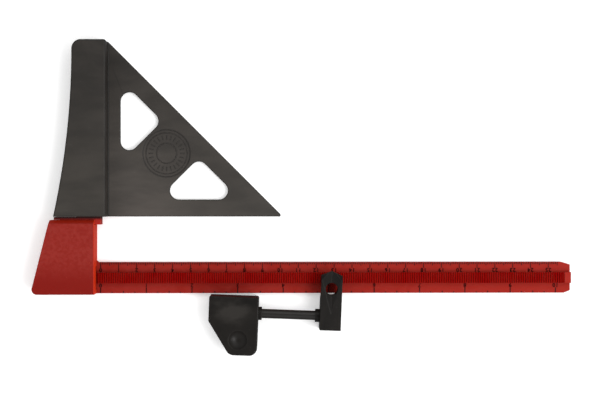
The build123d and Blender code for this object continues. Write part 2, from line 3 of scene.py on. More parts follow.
import bpy
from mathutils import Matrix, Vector


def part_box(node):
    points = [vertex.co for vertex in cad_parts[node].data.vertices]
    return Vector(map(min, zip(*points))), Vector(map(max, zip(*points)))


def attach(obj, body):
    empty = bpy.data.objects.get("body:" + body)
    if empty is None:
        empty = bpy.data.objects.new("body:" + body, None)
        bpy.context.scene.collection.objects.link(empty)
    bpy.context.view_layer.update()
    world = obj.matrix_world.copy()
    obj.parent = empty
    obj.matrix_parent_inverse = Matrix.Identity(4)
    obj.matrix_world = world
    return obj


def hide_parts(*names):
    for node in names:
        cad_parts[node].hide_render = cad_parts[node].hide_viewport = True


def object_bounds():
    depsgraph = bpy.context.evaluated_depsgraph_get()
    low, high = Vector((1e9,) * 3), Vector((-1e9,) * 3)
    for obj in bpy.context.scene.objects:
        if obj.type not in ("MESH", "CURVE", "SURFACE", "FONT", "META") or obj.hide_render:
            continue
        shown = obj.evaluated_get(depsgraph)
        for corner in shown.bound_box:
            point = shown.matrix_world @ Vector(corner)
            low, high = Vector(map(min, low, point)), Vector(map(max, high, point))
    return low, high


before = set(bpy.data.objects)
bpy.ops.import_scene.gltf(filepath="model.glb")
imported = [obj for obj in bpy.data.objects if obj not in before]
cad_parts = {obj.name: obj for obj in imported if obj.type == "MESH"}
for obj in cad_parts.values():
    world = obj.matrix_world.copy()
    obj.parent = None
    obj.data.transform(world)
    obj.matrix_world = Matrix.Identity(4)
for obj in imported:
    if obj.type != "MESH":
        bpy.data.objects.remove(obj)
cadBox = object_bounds()
mm = 0.001
print("stage 1: frame loaded,", len(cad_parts), "CAD nodes")


# small helpers for node trees

def addSocket(tree, name, kind, value=None, output=False):
    way = "OUTPUT" if output else "INPUT"
    made = tree.interface.new_socket(name=name, in_out=way, socket_type="NodeSocket" + kind)
    if value is not None:
        made.default_value = value
    return made


def addNode(tree, kind, feeds=None, **settings):
    made = tree.nodes.new(kind)
    for name, value in settings.items():
        setattr(made, name, value)
    for key, value in (feeds or {}).items():
        if isinstance(value, bpy.types.NodeSocket):
            tree.links.new(value, made.inputs[key])
        else:
            made.inputs[key].default_value = value
    return made


def maths(tree, operation, *values):
    return addNode(tree, "ShaderNodeMath", dict(enumerate(values)), operation=operation).outputs[0]


def mixColour(tree, factor, first, second):
    feeds = {0: factor, 6: first, 7: second}
    return addNode(tree, "ShaderNodeMix", feeds, data_type="RGBA").outputs[2]


def mixValue(tree, factor, first, second):
    return addNode(tree, "ShaderNodeMix", {0: factor, 2: first, 3: second}, data_type="FLOAT").outputs[0]


def fade(tree, value, start, end, low=0.0, high=1.0):
    feeds = {0: value, 1: start, 2: end, 3: low, 4: high}
    return addNode(tree, "ShaderNodeMapRange", feeds, interpolation_type="SMOOTHSTEP").outputs[0]


def noise(tree, point, size, detail):
    feeds = {"Vector": point, "Scale": size, "Detail": detail}
    return addNode(tree, "ShaderNodeTexNoise", feeds).outputs[0]


def placeOnPiece(tree, centre=(0, 0, 0), turn=0.0, stretch=(1, 1, 1)):
    # object coordinates, centred and turned about Z
    point = addNode(tree, "ShaderNodeTexCoord").outputs["Object"]
    feeds = {0: point, 1: Vector(centre)}
    shifted = addNode(tree, "ShaderNodeVectorMath", feeds, operation="SUBTRACT").outputs[0]
    feeds = {"Vector": shifted, "Rotation": (0, 0, turn), "Scale": stretch}
    return addNode(tree, "ShaderNodeMapping", feeds).outputs[0]


def splitPoint(tree, point):
    return addNode(tree, "ShaderNodeSeparateXYZ", {0: point}).outputs


def closeGroup(tree, results):
    # wires the named results to the group's output sockets
    last = addNode(tree, "NodeGroupOutput")
    for name, value in results.items():
        tree.links.new(value, last.inputs[name])
    return tree


def strength(tree, mask, share):
    return maths(tree, "MULTIPLY", mask, share)


def useGroup(tree, group, **values):
    made = tree.nodes.new("ShaderNodeGroup")
    made.node_tree = group
    for name, value in values.items():
        key = "".join(" " + letter if letter.isupper() else letter for letter in name).strip().title()
        if isinstance(value, bpy.types.NodeSocket):
            tree.links.new(value, made.inputs[key])
        else:
            made.inputs[key].default_value = value
    return made.outputs


# shader groups that the finishes share

edgePatch = {"from": 0.35, "to": 0.65, "least": 0.25, "detail": 4.0}
grainShape = {"fineDetail": 2.0, "waveDetail": 3.0, "toneShare": 0.5}
mottleShape = {"from": 0.3, "to": 0.7, "detail": 5.0, "rough": 0.55}
scuffShape = {
    "swings": (0.0, 1.1), "stretch": (1.0, 26.0, 1.0), "size": 110.0, "detail": 3.0, "bend": 0.15,
    "from": 0.66, "to": 0.74, "patchSize": 60.0, "patchDetail": 2.0, "patchFrom": 0.45, "patchTo": 0.65,
}
dustShare = 0.72  # cells darker than this hold no speck


def makeEdgeWearAndShade():
    # rounded normal; a whole edge mask, used to paint shade along edges; and a broken mask along convex edges
    # and corners, used for wear
    tree = bpy.data.node_groups.new("edgeWearAndShade", "ShaderNodeTree")
    addSocket(tree, "Radius", "Float", 0.3 * mm)
    addSocket(tree, "Strength", "Float", 3.0)
    addSocket(tree, "Patch Size", "Float", 120.0)
    addSocket(tree, "Mask", "Float", output=True)
    addSocket(tree, "Edge", "Float", output=True)
    addSocket(tree, "Normal", "Vector", output=True)
    given = addNode(tree, "NodeGroupInput").outputs
    rounded = addNode(tree, "ShaderNodeBevel", {"Radius": given["Radius"]}, samples=4).outputs[0]
    flat = addNode(tree, "ShaderNodeNewGeometry").outputs["Normal"]
    feeds = {0: rounded, 1: flat}
    agree = addNode(tree, "ShaderNodeVectorMath", feeds, operation="DOT_PRODUCT").outputs[1]
    edge = maths(tree, "MULTIPLY", maths(tree, "SUBTRACT", 1.0, agree), given["Strength"])
    point = addNode(tree, "ShaderNodeTexCoord").outputs["Object"]
    patch = noise(tree, point, given["Patch Size"], edgePatch["detail"])
    kept = fade(tree, patch, edgePatch["from"], edgePatch["to"], edgePatch["least"], 1.0)
    broken = maths(tree, "MULTIPLY", edge, kept)
    mask = addNode(tree, "ShaderNodeClamp", {0: broken}).outputs[0]
    whole = addNode(tree, "ShaderNodeClamp", {0: edge}).outputs[0]
    return closeGroup(tree, {"Mask": mask, "Edge": whole, "Normal": rounded})


def makeMouldGrain():
    # the fine spark texture that a mould leaves, with a slow unevenness under it
    tree = bpy.data.node_groups.new("mouldGrain", "ShaderNodeTree")
    addSocket(tree, "Grain Size", "Float", 2600.0)
    addSocket(tree, "Wave Size", "Float", 160.0)
    addSocket(tree, "Wave Share", "Float", 0.4)
    addSocket(tree, "Height", "Float", output=True)
    addSocket(tree, "Tone", "Float", output=True)
    given = addNode(tree, "NodeGroupInput").outputs
    point = addNode(tree, "ShaderNodeTexCoord").outputs["Object"]
    fine = noise(tree, point, given["Grain Size"], grainShape["fineDetail"])
    wave = noise(tree, point, given["Wave Size"], grainShape["waveDetail"])
    height = mixValue(tree, given["Wave Share"], fine, wave)
    tone = mixValue(tree, grainShape["toneShare"], fine, wave)
    return closeGroup(tree, {"Height": height, "Tone": tone})


def makeFlowMottle():
    # cloudy streaks of melt and pigment
    tree = bpy.data.node_groups.new("flowMottle", "ShaderNodeTree")
    addSocket(tree, "Cloud Size", "Float", 45.0)
    addSocket(tree, "Swirl", "Float", 0.8)
    addSocket(tree, "Cloud", "Float", output=True)
    given = addNode(tree, "NodeGroupInput").outputs
    point = addNode(tree, "ShaderNodeTexCoord").outputs["Object"]
    feeds = {
        "Vector": point, "Scale": given["Cloud Size"], "Detail": mottleShape["detail"],
        "Roughness": mottleShape["rough"], "Distortion": given["Swirl"],
    }
    cloud = addNode(tree, "ShaderNodeTexNoise", feeds).outputs[0]
    return closeGroup(tree, {"Cloud": fade(tree, cloud, mottleShape["from"], mottleShape["to"])})


def makeScuffs():
    # hairline scratches in two directions, gathered in patches
    tree = bpy.data.node_groups.new("fineScuffs", "ShaderNodeTree")
    addSocket(tree, "Turn", "Float", 0.5)
    addSocket(tree, "Amount", "Float", 0.5)
    addSocket(tree, "Mask", "Float", output=True)
    given = addNode(tree, "NodeGroupInput").outputs
    point = addNode(tree, "ShaderNodeTexCoord").outputs["Object"]
    found = []
    for swing in scuffShape["swings"]:
        angle = maths(tree, "ADD", given["Turn"], swing)
        turned = addNode(tree, "ShaderNodeVectorRotate", {"Vector": point, "Angle": angle}).outputs[0]
        feeds = {"Vector": turned, "Scale": scuffShape["stretch"]}
        drawn = addNode(tree, "ShaderNodeMapping", feeds).outputs[0]
        feeds = {
            "Vector": drawn, "Scale": scuffShape["size"], "Detail": scuffShape["detail"],
            "Distortion": scuffShape["bend"],
        }
        line = addNode(tree, "ShaderNodeTexNoise", feeds).outputs[0]
        found.append(fade(tree, line, scuffShape["from"], scuffShape["to"]))
    both = maths(tree, "MAXIMUM", *found)
    patch = noise(tree, point, scuffShape["patchSize"], scuffShape["patchDetail"])
    shown = maths(tree, "MULTIPLY", both, fade(tree, patch, scuffShape["patchFrom"], scuffShape["patchTo"]))
    return closeGroup(tree, {"Mask": maths(tree, "MULTIPLY", shown, given["Amount"])})


def makeDust():
    # single pale specks
    tree = bpy.data.node_groups.new("dustSpecks", "ShaderNodeTree")
    addSocket(tree, "Spacing", "Float", 420.0)
    addSocket(tree, "Speck Radius", "Float", 0.09)
    addSocket(tree, "Mask", "Float", output=True)
    given = addNode(tree, "NodeGroupInput").outputs
    point = addNode(tree, "ShaderNodeTexCoord").outputs["Object"]
    cell = addNode(tree, "ShaderNodeTexVoronoi", {"Vector": point, "Scale": given["Spacing"]})
    near = maths(tree, "LESS_THAN", cell.outputs["Distance"], given["Speck Radius"])
    few = maths(tree, "GREATER_THAN", splitPoint(tree, cell.outputs["Color"])[0], dustShare)
    return closeGroup(tree, {"Mask": maths(tree, "MULTIPLY", near, few)})


edgeWearAndShade = makeEdgeWearAndShade()
mouldGrain = makeMouldGrain()
flowMottle = makeFlowMottle()
fineScuffs = makeScuffs()
dustSpecks = makeDust()


# finishes

scuffPolish = 0.12  # how much smoother a scratch is than the face round it


def startFinish(name):
    material = bpy.data.materials.new(name)
    material.use_nodes = True
    tree = material.node_tree
    return material, tree, tree.nodes["Principled BSDF"].inputs


def plastic(name, look, paint=None):
    # look holds the numbers; paint(tree, colour, rough) may add what only this piece has
    material, tree, shader = startFinish(name)
    cloud = useGroup(tree, flowMottle, cloudSize=look["cloudSize"], swirl=look["swirl"])["Cloud"]
    sizes = {key: look[key] for key in ("grainSize", "waveSize", "waveShare")}
    grain = useGroup(tree, mouldGrain, **sizes)
    edgeOutputs = useGroup(tree, edgeWearAndShade, radius=look["edgeRadius"], strength=look["edgeStrength"])
    scuff = useGroup(tree, fineScuffs, turn=look["scuffTurn"], amount=look["scuffAmount"])["Mask"]
    dust = useGroup(tree, dustSpecks)["Mask"]
    colour = mixColour(tree, cloud, (*look["colour"], 1), (*look["cloudColour"], 1))
    smoothest, roughest = look["rough"] - look["roughSpread"], look["rough"] + look["roughSpread"]
    rough = mixValue(tree, grain["Tone"], smoothest, roughest)
    if paint:
        colour, rough = paint(tree, colour, rough)
    # the first row paints shade along every convex edge; the others lay scuffs, worn edges and dust
    for mask, show, over in (
        (edgeOutputs["Edge"], "edgeDeep", "deepColour"), (scuff, "scuffShow", "wornColour"),
        (edgeOutputs["Mask"], "edgeShow", "wornColour"), (dust, "dustShow", "wornColour"),
    ):
        colour = mixColour(tree, maths(tree, "MULTIPLY", mask, look[show]), colour, (*look[over], 1))
    rough = mixValue(tree, scuff, rough, look["rough"] - scuffPolish)
    tree.links.new(colour, shader["Base Color"])
    tree.links.new(rough, shader["Roughness"])
    feeds = {
        "Height": grain["Height"], "Distance": look["grainDepth"], "Strength": 1.0, "Normal": edgeOutputs["Normal"],
    }
    tree.links.new(addNode(tree, "ShaderNodeBump", feeds).outputs[0], shader["Normal"])
    shader["Specular IOR Level"].default_value = look["specular"]
    shader["Subsurface Weight"].default_value = look.get("glow", 0.0)
    shader["Subsurface Radius"].default_value = look.get("glowReach", (1.0, 0.2, 0.1))
    shader["Subsurface Scale"].default_value = look.get("glowScale", mm)
    return material


redBase = {
    "cloudSize": 90.0, "swirl": 1.4, "grainSize": 3200.0, "waveSize": 240.0, "waveShare": 0.35,
    # edgeDeep sets how strongly deepColour paints shade along every convex edge
    "edgeRadius": 0.4 * mm, "edgeStrength": 3.0, "edgeShow": 0.2, "edgeDeep": 0.45,
    "deepColour": (0.14, 0.002, 0.001), "wornColour": (0.62, 0.12, 0.07),
    "scuffTurn": 0.3, "scuffAmount": 0.6, "scuffShow": 0.14, "dustShow": 0.2,
    "rough": 0.5, "roughSpread": 0.06, "grainDepth": 0.02 * mm, "specular": 0.2,
    "glow": 0.2, "glowReach": (1.0, 0.1, 0.04), "glowScale": 2.0 * mm,
}
stockLook = dict(
    redBase, colour=(0.235, 0.012, 0.007), cloudColour=(0.265, 0.021, 0.015), cloudSize=520.0, swirl=0.3,
    specular=0.14,
)
tongueLook = dict(redBase, colour=(0.36, 0.012, 0.006), cloudColour=(0.40, 0.02, 0.012))
bladeLook = dict(
    redBase, colour=(0.262, 0.015, 0.010), cloudColour=(0.295, 0.023, 0.017), rough=0.42, specular=0.025,
)
markLook = dict(
    redBase, colour=(0.02, 0.0006, 0.0006), cloudColour=(0.028, 0.0008, 0.0008), glow=0.0, edgeShow=0.0,
    specular=0.1,
)

blackBase = {
    "cloudSize": 34.0, "swirl": 1.6, "grainSize": 2600.0, "waveSize": 140.0, "waveShare": 0.45,
    # edgeDeep sets how strongly deepColour paints shade along every convex edge
    "edgeRadius": 0.6 * mm, "edgeStrength": 9.0, "edgeShow": 0.08, "edgeDeep": 0.85,
    "deepColour": (0.005, 0.004, 0.003), "wornColour": (0.16, 0.15, 0.14),
    "scuffTurn": 0.9, "scuffAmount": 0.8, "scuffShow": 0.06, "dustShow": 0.1,
    "rough": 0.52, "roughSpread": 0.07, "grainDepth": 0.03 * mm, "specular": 0.3,
}
gripLook = dict(
    blackBase, colour=(0.013, 0.0105, 0.0082), cloudColour=(0.021, 0.0175, 0.0145), edgeRadius=1.1 * mm,
    edgeStrength=20.0,
)
badgeLook = dict(blackBase, colour=(0.030, 0.026, 0.022), cloudColour=(0.036, 0.031, 0.027), rough=0.6)
gaugeLook = dict(
    blackBase, colour=(0.004, 0.0032, 0.0026), cloudColour=(0.009, 0.0075, 0.0062), rough=0.36,
    scuffTurn=1.5, specular=0.16, edgeShow=0.12, edgeDeep=0.3,
)
rodLook = dict(gaugeLook, rough=0.3, specular=0.36, scuffTurn=0.0)
steelLook = {
    "colour": (0.34, 0.34, 0.345), "dull": (0.24, 0.235, 0.225), "smoothest": 0.34, "roughest": 0.54,
    "stretch": (1, 1, 6), "lineSize": 900.0, "lineDetail": 3.0, "lineDepth": 0.01 * mm,
    "edgeRadius": 0.15 * mm,
}


levelReach = 0.02 * mm  # how far a point may lie off a level and still count
fenceClear = 0.5 * mm  # crest points nearer to the fence than this are the tenon's
zeroTeeth = 1.5  # rack teeth between the rack's start and the scales' zero


def pointsOf(node):
    return [v.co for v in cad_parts[node].data.vertices]


def levelPoints(node, level):
    return [p for p in pointsOf(node) if abs(p.z - level) < levelReach]


def measureRule():
    # the rule's levels, rib and rack, read from its own mesh; the tenon lies left of the fence
    low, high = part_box("blade")
    crest = [p for p in levelPoints("blade", high.z) if p.x > fenceClear]
    xs = sorted({round(p.x, 6) for p in crest})
    land, pitch = xs[1] - xs[0], xs[2] - xs[0]
    edge = [p.z for p in pointsOf("blade") if p.y < low.y + levelReach]
    rackStart = xs[0] - (pitch - land) / 2
    return {
        "face": max(edge), "top": high.z, "end": high.x, "outerEdge": low.y, "innerEdge": 0.0,
        "ribLow": min(p.y for p in crest), "ribHigh": max(p.y for p in crest),
        "zero": rackStart + zeroTeeth * pitch, "rackEnd": xs[-2],
    }


rule = measureRule()
print("stage 2: rule measured,", {k: round(v / mm, 2) for k, v in rule.items()})


stockPaint = {
    # deep: painted reflection change low down; ledge: painted shade below the top face; lit: painted glow
    # along the fence
    "deep": (0.20, 0.004, 0.001), "deepFrom": 4 * mm, "deepTo": -13 * mm, "deepShare": 0.95,
    "lit": (0.62, 0.028, 0.003), "litDepth": 0.45 * mm,
    "ledge": (0.24, 0.008, 0.001), "ledgeDepth": 0.7 * mm, "ledgeTop": 0.1 * mm,
}


def paintStock(tree, colour, rough):
    # painted light: a deeper red low down for the missing veil of reflected light, painted shade on the faces
    # below the top, and a painted glow along the fence where light passes through the thin corner
    across, up, height = splitPoint(tree, placeOnPiece(tree))
    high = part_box("stock")[1]
    # painted reflection: the upper part keeps the paler veil of reflected light, the lower part is painted a
    # deeper red
    deep = fade(tree, up, stockPaint["deepFrom"], stockPaint["deepTo"])
    deep = strength(tree, deep, stockPaint["deepShare"])
    colour = mixColour(tree, deep, colour, (*stockPaint["deep"], 1))
    # painted shade: every face lower than the top face, the chamfer and the walls included, is painted a
    # deeper red
    ledge = fade(tree, height, high.z - stockPaint["ledgeTop"], high.z - stockPaint["ledgeDepth"])
    colour = mixColour(tree, ledge, colour, (*stockPaint["ledge"], 1))
    # painted glow: a bright orange strip along the fence wall stands in for light passing through and
    # lighting the thin corner
    lit = fade(tree, across, -stockPaint["litDepth"], 0.0)
    return mixColour(tree, lit, colour, (*stockPaint["lit"], 1)), rough


tonguePaint = {
    # shade: the painted shade in the gap under the grip's mouth
    "shade": (0.018, 0.0005, 0.0005), "shadeWidth": 1.7 * mm, "drop": 0.4 * mm, "fadeOut": 2.5 * mm,
}


def paintTongue(tree, colour, rough):
    # painted shade in the gap where the grip's mouth overhangs the tongue
    up = splitPoint(tree, placeOnPiece(tree))[1]
    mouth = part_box("square")[0].y - tonguePaint["drop"]
    shade = fade(tree, up, mouth - tonguePaint["shadeWidth"], mouth)
    above = fade(tree, up, mouth + tonguePaint["fadeOut"], mouth)
    shade = maths(tree, "MULTIPLY", shade, above)
    return mixColour(tree, shade, colour, (*tonguePaint["shade"], 1)), rough


rulePaint = {
    "pale": (0.33, 0.020, 0.013), "paleFrom": 0.05, "paleShare": 0.7,
    # rack: painted shade on the teeth; crest: painted highlight along their tops
    "rack": (0.11, 0.0003, 0.0003), "rackRough": 0.2,
    "crest": (0.40, 0.001, 0.001), "crestDepth": 0.22 * mm,
}


def paintRule(tree, colour, rough):
    point = splitPoint(tree, placeOnPiece(tree))
    along, height = point[0], point[2]
    # painted reflection: the veil of reflected light changes along the rule, painted as a brighter red
    # towards the far end
    pale = fade(tree, along, rulePaint["paleFrom"], rule["end"])
    pale = strength(tree, pale, rulePaint["paleShare"])
    colour = mixColour(tree, pale, colour, (*rulePaint["pale"], 1))
    # the rack is moulded glossy; its teeth are painted a deeper red for the shade between them, and their
    # crests a paler red as a painted highlight
    inRib = maths(tree, "GREATER_THAN", height, (rule["face"] + rule["top"]) / 2)
    inRack = maths(tree, "MULTIPLY", inRib, maths(tree, "LESS_THAN", along, rule["rackEnd"]))
    crest = fade(tree, height, rule["top"] - rulePaint["crestDepth"], rule["top"])
    tooth = mixColour(tree, crest, (*rulePaint["rack"], 1), (*rulePaint["crest"], 1))
    colour = mixColour(tree, inRack, colour, tooth)
    return colour, mixValue(tree, inRack, rough, rulePaint["rackRough"])


gripPaint = {
    "plate": (0.060, 0.0513, 0.0445), "plateFar": 0.15, "nearSum": 0.04, "farSum": 0.115,
    "plateTop": 3 * mm, "plateFade": (0.4 * mm, 0.1 * mm),
    "grip": (0.036, 0.031, 0.0255), "gripShare": 0.8,
    "smearTurn": 45, "smearStretch": (1, 3, 1), "smearSize": 34.0, "smearDetail": 6.0,
    "smearFrom": 0.32, "smearTo": 0.68, "smearLow": 0.78, "smearHigh": 1.16,
    # foot: the colour of the painted shade at the fence's foot, used for the real weld line too
    "foot": (0.006, 0.005, 0.004), "footWidth": 1.3 * mm, "footShare": 0.85, "fenceStep": 6.2 * mm,
    "weldFrom": (8.5 * mm, 109 * mm), "weldTo": (15.5 * mm, 91 * mm), "weldWidth": 0.5 * mm,
    "weldShow": 0.4, "weldGrows": 0.25, "weldEnds": 0.9,
}


def paintGrip(tree, colour, rough):
    # the plate is a shade lighter than the grip, most of all towards its lower left
    across, up, height = splitPoint(tree, placeOnPiece(tree))
    low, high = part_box("square")
    plateTop = gripPaint["plateTop"]
    fadeFrom, fadeTo = gripPaint["plateFade"]
    near = fade(tree, maths(tree, "ADD", across, up), gripPaint["farSum"], gripPaint["nearSum"])
    onGrip = fade(tree, up, high.y, low.y)
    onGrip = strength(tree, onGrip, gripPaint["gripShare"])
    colour = mixColour(tree, onGrip, colour, (*gripPaint["grip"], 1))
    plate = fade(tree, height, plateTop + fadeFrom, plateTop + fadeTo)
    lift = maths(tree, "MULTIPLY", plate, mixValue(tree, near, gripPaint["plateFar"], 1.0))
    colour = mixColour(tree, lift, colour, (*gripPaint["plate"], 1))
    # wiped unevenly, in broad strokes along the slant
    slant = math.radians(gripPaint["smearTurn"])
    wiped = placeOnPiece(tree, turn=slant, stretch=gripPaint["smearStretch"])
    smear = noise(tree, wiped, gripPaint["smearSize"], gripPaint["smearDetail"])
    span = [gripPaint[key] for key in ("smearFrom", "smearTo", "smearLow", "smearHigh")]
    tone = fade(tree, smear, *span)
    colour = addNode(tree, "ShaderNodeVectorMath", {0: colour, 3: tone}, operation="SCALE").outputs[0]
    # painted shade in the corner between the plate and the fence
    fromFence = maths(tree, "SUBTRACT", across, gripPaint["fenceStep"])
    foot = fade(tree, fromFence, gripPaint["footWidth"], 0.0)
    foot = strength(tree, maths(tree, "MULTIPLY", foot, plate), gripPaint["footShare"])
    # the line where two streams of melt met
    start, end = Vector(gripPaint["weldFrom"]), Vector(gripPaint["weldTo"])
    run = end - start
    lineUp = placeOnPiece(tree, (*start, 0), -math.atan2(run.y, run.x))
    onLine = splitPoint(tree, lineUp)
    beside = maths(tree, "ABSOLUTE", onLine[1])
    grows = fade(tree, onLine[0], 0.0, run.length * gripPaint["weldGrows"])
    ends = fade(tree, onLine[0], run.length, run.length * gripPaint["weldEnds"])
    inRun = maths(tree, "MULTIPLY", grows, ends)
    weld = maths(tree, "MULTIPLY", fade(tree, beside, gripPaint["weldWidth"], 0.0), inRun)
    weld = strength(tree, maths(tree, "MULTIPLY", weld, plate), gripPaint["weldShow"])
    # one dark colour paints the shade at the fence's foot and the real weld line
    colour = mixColour(tree, maths(tree, "MAXIMUM", foot, weld), colour, (*gripPaint["foot"], 1))
    return colour, rough


gaugePaint = {
    # the pale colour and smoother finish of the painted sheen on the carriage
    "film": (0.021, 0.0182, 0.0158), "sheenRough": 0.46, "ragged": -1.8, "rim": 1.15, "core": 0.25,
    "fromMiddle": (-2.7 * mm, 6.7 * mm), "reach": (12.5 * mm, 8.5 * mm), "turn": -0.3,
    "smearTurn": 0.5, "smearStretch": (1, 1.8, 1), "smearSize": 90.0, "smearDetail": 4.0,
    "smearFrom": 0.3, "smearTo": 0.6, "smearLow": 0.4,
}


def paintGauge(tree, colour, rough):
    # painted sheen: a pale patch on the upper part of the block stands in for a soft reflection
    low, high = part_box("gauge_carriage")
    spotX, spotY = gaugePaint["fromMiddle"]
    centre = ((low.x + high.x) / 2 + spotX, (low.y + high.y) / 2 + spotY, 0)
    reachX, reachY = gaugePaint["reach"]
    point = placeOnPiece(tree, centre, gaugePaint["turn"], (1 / reachX, 1 / reachY, 0))
    near = addNode(tree, "ShaderNodeVectorMath", {0: point}, operation="LENGTH").outputs[1]
    smeared = placeOnPiece(tree, turn=gaugePaint["smearTurn"], stretch=gaugePaint["smearStretch"])
    smear = noise(tree, smeared, gaugePaint["smearSize"], gaugePaint["smearDetail"])
    ragged = maths(tree, "MULTIPLY_ADD", smear, gaugePaint["ragged"], near)
    shift = gaugePaint["ragged"] / 2
    away = fade(tree, ragged, gaugePaint["rim"] + shift, gaugePaint["core"] + shift)
    streaks = fade(tree, smear, gaugePaint["smearFrom"], gaugePaint["smearTo"], gaugePaint["smearLow"], 1.0)
    film = maths(tree, "MULTIPLY", away, streaks)
    # the painted sheen is laid into the colour here
    colour = mixColour(tree, film, colour, (*gaugePaint["film"], 1))
    return colour, mixValue(tree, film, rough, gaugePaint["sheenRough"])


def steelFinish():
    material, tree, shader = startFinish("zincSteel")
    point = placeOnPiece(tree, stretch=steelLook["stretch"])
    lines = noise(tree, point, steelLook["lineSize"], steelLook["lineDetail"])
    shader["Metallic"].default_value = 1.0
    tint = mixColour(tree, lines, (*steelLook["colour"], 1), (*steelLook["dull"], 1))
    tree.links.new(tint, shader["Base Color"])
    rough = mixValue(tree, lines, steelLook["smoothest"], steelLook["roughest"])
    tree.links.new(rough, shader["Roughness"])
    edgeOutputs = useGroup(tree, edgeWearAndShade, radius=steelLook["edgeRadius"])
    feeds = {"Height": lines, "Distance": steelLook["lineDepth"], "Normal": edgeOutputs["Normal"]}
    tree.links.new(addNode(tree, "ShaderNodeBump", feeds).outputs[0], shader["Normal"])
    return material


stockRed = plastic("stockRed", stockLook, paintStock)
tongueRed = plastic("tongueRed", tongueLook, paintTongue)
ruleRed = plastic("ruleRed", bladeLook, paintRule)
markRed = plastic("markRed", markLook)
gripBlack = plastic("gripBlack", gripLook, paintGrip)
badgeBlack = plastic("badgeBlack", badgeLook)
gaugeBlack = plastic("gaugeBlack", gaugeLook, paintGauge)
rodBlack = plastic("rodBlack", rodLook)
zincSteel = steelFinish()

finishOf = {
    "stock": stockRed, "tongue": tongueRed, "blade": ruleRed, "square": gripBlack,
    "gauge_carriage": gaugeBlack, "carriage_base": gaugeBlack, "gauge_rod": rodBlack,
    "rod_bush": gaugeBlack, "gauge_head": gaugeBlack, "head_bush": gaugeBlack,
}
for name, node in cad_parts.items():
    node.data.materials.clear()
    node.data.materials.append(finishOf.get(name, zincSteel))
print("stage 3: finishes on the CAD nodes")


# geometry trees for what repeats

def startTree(name, sizes):
    tree = bpy.data.node_groups.new(name, "GeometryNodeTree")
    addSocket(tree, "Geometry", "Geometry")
    for size, (kind, value) in sizes.items():
        addSocket(tree, size, kind, value)
    addSocket(tree, "Finish", "Material")
    addSocket(tree, "Geometry", "Geometry", output=True)
    return tree, addNode(tree, "NodeGroupInput").outputs


def endTree(tree, geometry, finish):
    solid = addNode(tree, "GeometryNodeRealizeInstances", {0: geometry}).outputs[0]
    coated = addNode(tree, "GeometryNodeSetMaterial", {"Geometry": solid, "Material": finish}).outputs[0]
    tree.links.new(coated, addNode(tree, "NodeGroupOutput").inputs[0])
    return tree


def growPiece(name, tree, sizes, body, seed=None):
    # runs the tree once and keeps the result as a plain mesh
    host = bpy.data.objects.new(name + "Host", seed or bpy.data.meshes.new(name + "Seed"))
    bpy.context.scene.collection.objects.link(host)
    build = host.modifiers.new("build", "NODES")
    build.node_group = tree
    for socket in tree.interface.items_tree:
        if socket.item_type == "SOCKET" and socket.in_out == "INPUT" and socket.name in sizes:
            build[socket.identifier] = sizes[socket.name]
    graph = bpy.context.evaluated_depsgraph_get()
    grown = host.evaluated_get(graph)
    mesh = bpy.data.meshes.new_from_object(grown, preserve_all_data_layers=True, depsgraph=graph)
    host.modifiers.remove(build)
    bpy.data.objects.remove(host)
    mesh.name = name
    piece = bpy.data.objects.new(name, mesh)
    bpy.context.scene.collection.objects.link(piece)
    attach(piece, body)
    print("  ", name, len(mesh.polygons), "faces")
    return piece


def combine(tree, x=0.0, y=0.0, z=0.0):
    return addNode(tree, "ShaderNodeCombineXYZ", {0: x, 1: y, 2: z}).outputs[0]


def everyNth(tree, index, step):
    rest = addNode(tree, "FunctionNodeIntegerMath", {0: index, 1: step}, operation="MODULO").outputs[0]
    same = addNode(tree, "FunctionNodeCompare", {2: rest, 3: 0}, data_type="INT", operation="EQUAL")
    return same.outputs[0]


def choose(tree, test, no, yes):
    return addNode(tree, "GeometryNodeSwitch", {0: test, 1: no, 2: yes}, input_type="FLOAT").outputs[0]


def onPoints(tree, **feeds):
    return addNode(tree, "GeometryNodeInstanceOnPoints", feeds).outputs[0]


def moved(tree, geometry, **feeds):
    return addNode(tree, "GeometryNodeTransform", {"Geometry": geometry, **feeds}).outputs[0]


def joinAll(tree, *parts):
    joined = addNode(tree, "GeometryNodeJoinGeometry")
    for part in parts:
        tree.links.new(part, joined.inputs[0])
    return joined.outputs[0]


def makeScaleTree():
    # a row of bars that hang from an edge, longer at every few and longest at every label
    sizes = {
        "Count": ("Int", 11), "Pitch": ("Float", mm), "Start": ("Vector", (0, 0, 0)), "Side": ("Float", -1.0),
        "Short": ("Float", mm), "Middle": ("Float", 2 * mm), "Long": ("Float", 3 * mm),
        "Middle Step": ("Int", 5), "Long Step": ("Int", 10),
        "Line Width": ("Float", 0.2 * mm), "Rise": ("Float", 0.05 * mm),
    }
    tree, given = startTree("scaleMarks", sizes)
    step = combine(tree, given["Pitch"])
    feeds = {"Count": given["Count"], "Start Location": given["Start"], "Offset": step}
    row = addNode(tree, "GeometryNodeMeshLine", feeds).outputs[0]
    index = addNode(tree, "GeometryNodeInputIndex").outputs[0]
    length = choose(tree, everyNth(tree, index, given["Middle Step"]), given["Short"], given["Middle"])
    length = choose(tree, everyNth(tree, index, given["Long Step"]), length, given["Long"])
    cube = addNode(tree, "GeometryNodeMeshCube").outputs[0]
    halfSide = maths(tree, "MULTIPLY", given["Side"], 0.5)
    hung = moved(tree, cube, Translation=combine(tree, y=halfSide))
    scale = combine(tree, given["Line Width"], length, given["Rise"])
    return endTree(tree, onPoints(tree, Points=row, Instance=hung, Scale=scale), given["Finish"])


curveSteps = 2  # points on each curved run of a numeral's outline
weldReach = 1e-6
hoopSteps = 96


